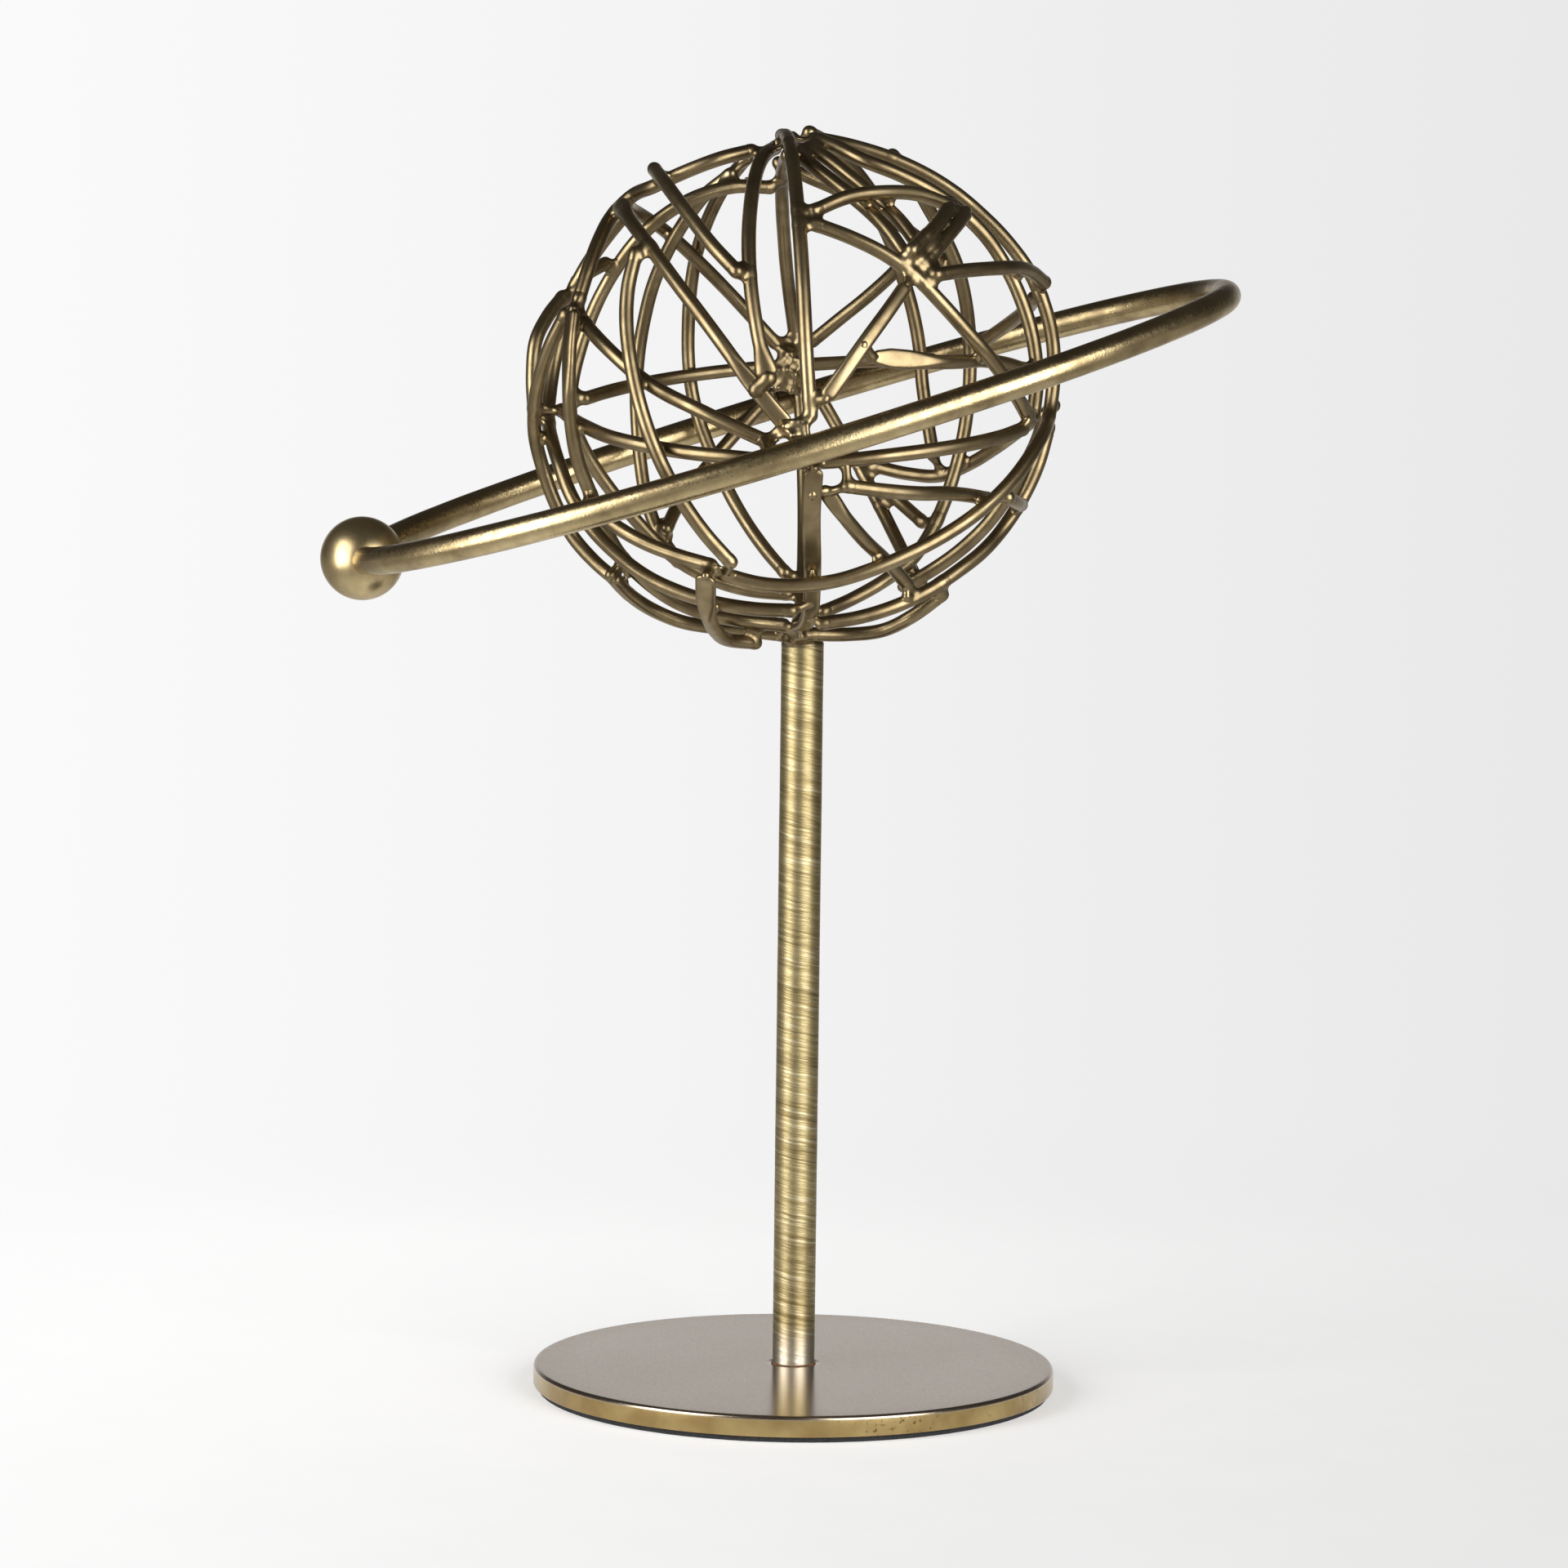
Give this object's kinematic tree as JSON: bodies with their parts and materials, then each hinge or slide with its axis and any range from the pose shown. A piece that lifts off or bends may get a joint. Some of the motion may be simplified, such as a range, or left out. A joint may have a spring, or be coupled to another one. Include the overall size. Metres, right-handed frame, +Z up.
{
  "type": "armillary sphere",
  "caption": "Decorative armillary model: a ball-shaped cage of welded brass wires inside one sloping oval ring, standing on a round post and a flat round base.",
  "frame": {"origin": "middle of the underside of the base pad, where the object stands", "axes": "+Z up along the post; +X to the side where the ring rises; -Y to the front"},
  "size_m": [0.2081, 0.1346, 0.2899],
  "materials": {
    "base_brass": "antique brass, satin",
    "post_brass": "antique brass, fine sanding marks",
    "ring_brass": "antique brass, darkened and rubbed back",
    "wire_brass": "antique brass, darkened and rubbed back",
    "weld_brass": "weld metal, dark and uneven",
    "steel": "plain",
    "foam": "matt black foam"
  },
  "bodies": {
    "root": {"base_pad": "foam", "base_disc": "base_brass", "base_screw": "steel", "post": "post_brass", "ring": "ring_brass", "ring_ball": "ring_brass", "front_meridian": "wire_brass", "front_top_left_bar": "wire_brass", "front_left_spike": "wire_brass", "front_left_diagonal": "wire_brass", "front_left_bow": "wire_brass", "left_long_bow": "wire_brass", "left_hub_bow": "wire_brass", "front_lower_belt": "wire_brass", "left_shoulder_bow": "wire_brass", "back_left_high_bow": "wire_brass", "back_left_bow": "wire_brass", "back_left_long_bow": "wire_brass", "back_meridian": "wire_brass", "back_left_hub_brace": "wire_brass", "back_right_hub_brace": "wire_brass", "back_belt": "wire_brass", "back_right_high_bow": "wire_brass", "right_rim_bow": "wire_brass", "right_shoulder_bow": "wire_brass", "top_right_brace_inner": "wire_brass", "top_right_brace_outer": "wire_brass", "back_top_right_brace": "wire_brass", "front_top_right_arch": "wire_brass", "front_right_diagonal": "wire_brass", "right_lap_pin_low": "wire_brass", "right_lap_pin_high": "wire_brass", "right_upper_arch": "wire_brass", "front_right_strut": "wire_brass", "front_right_belt": "wire_brass", "lower_right_bar": "wire_brass", "back_lower_right_bow": "wire_brass", "front_lower_strip": "wire_brass", "front_lower_right_brace": "wire_brass", "lower_left_bow": "wire_brass", "left_back_rim_bow": "wire_brass", "bottom_left_bow": "wire_brass", "bottom_left_hook": "wire_brass", "lower_right_rim_bow": "wire_brass", "lower_right_inner_bow": "wire_brass", "bottom_right_bow": "wire_brass", "left_outer_bulge": "wire_brass", "left_rim_bow": "wire_brass", "left_back_link": "wire_brass", "back_right_long_bow": "wire_brass", "back_lower_left_bow": "wire_brass", "back_lower_left_brace": "wire_brass", "back_lower_right_brace": "wire_brass", "right_back_link": "wire_brass", "back_lower_right_link": "wire_brass", "right_lower_link": "wire_brass", "top_weld": "weld_brass", "front_hub_weld": "weld_brass", "back_hub_weld": "weld_brass", "bottom_weld": "weld_brass"}
  },
  "joints": []
}
